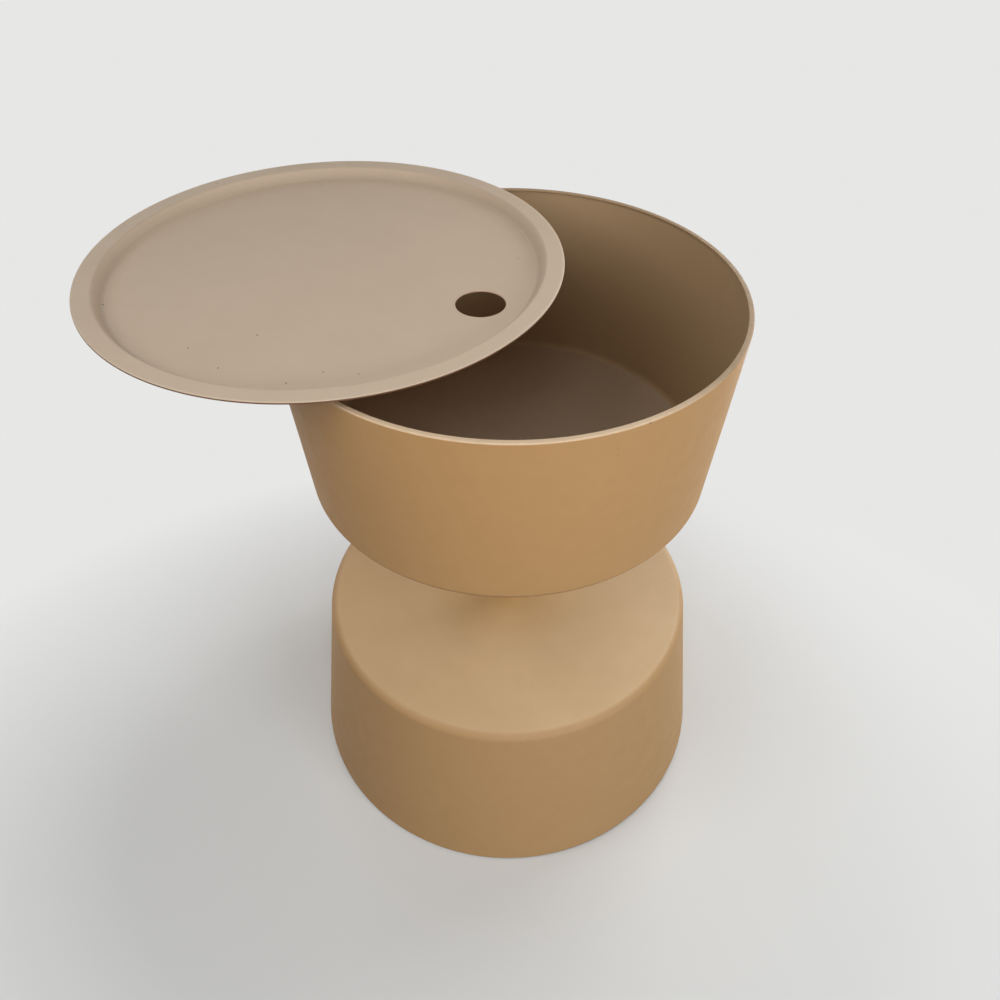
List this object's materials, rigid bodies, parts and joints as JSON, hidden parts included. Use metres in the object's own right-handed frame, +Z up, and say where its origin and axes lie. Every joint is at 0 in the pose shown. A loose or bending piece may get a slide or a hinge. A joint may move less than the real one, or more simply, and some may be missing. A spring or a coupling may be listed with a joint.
{
  "type": "ice bucket coffee table",
  "caption": "Round ice bucket coffee table: tapered bucket on a slim post over a drum base, with a dished tray lid lying across one side of the rim.",
  "frame": {"origin": "on the table's upright axis at floor level, just under the middle of the ballast plate", "axes": "+Z up along the post, -Y towards the viewer of the picture, +X to the viewer's right; the loose tray lies towards -X"},
  "size_m": [0.64, 0.501, 0.6233],
  "materials": {
    "table_coat": "matte fine-textured powder coat, caramel tan",
    "tray_coat": "matte fine-textured powder coat, pale tan",
    "zinc_steel": "zinc plated",
    "black_oxide": "black oxide",
    "black_rubber": "matte"
  },
  "bodies": {
    "table": {"bucket_shell": "table_coat", "bucket_stud_1": "zinc_steel", "bucket_stud_2": "zinc_steel", "bucket_stud_3": "zinc_steel", "bucket_stud_4": "zinc_steel", "flange_washer_1": "zinc_steel", "flange_washer_2": "zinc_steel", "flange_washer_3": "zinc_steel", "flange_washer_4": "zinc_steel", "flange_nut_1": "zinc_steel", "flange_nut_2": "zinc_steel", "flange_nut_3": "zinc_steel", "flange_nut_4": "zinc_steel", "post_socket": "table_coat", "socket_grub_1": "black_oxide", "socket_grub_2": "black_oxide", "post_tube": "table_coat", "base_shell": "table_coat", "base_ring": "table_coat", "ballast_plate": "table_coat", "glide_1": "black_rubber", "glide_2": "black_rubber", "glide_3": "black_rubber", "glide_4": "black_rubber", "glide_screw_1": "zinc_steel", "glide_screw_2": "zinc_steel", "glide_screw_3": "zinc_steel", "glide_screw_4": "zinc_steel"},
    "tray": {"tray_lid": "tray_coat"}
  },
  "joints": [
    {"name": "tray_lift", "type": "slide", "parent": "table", "child": "tray", "axis": [0, 0, 1], "range_m": [0, 0.25]}
  ]
}
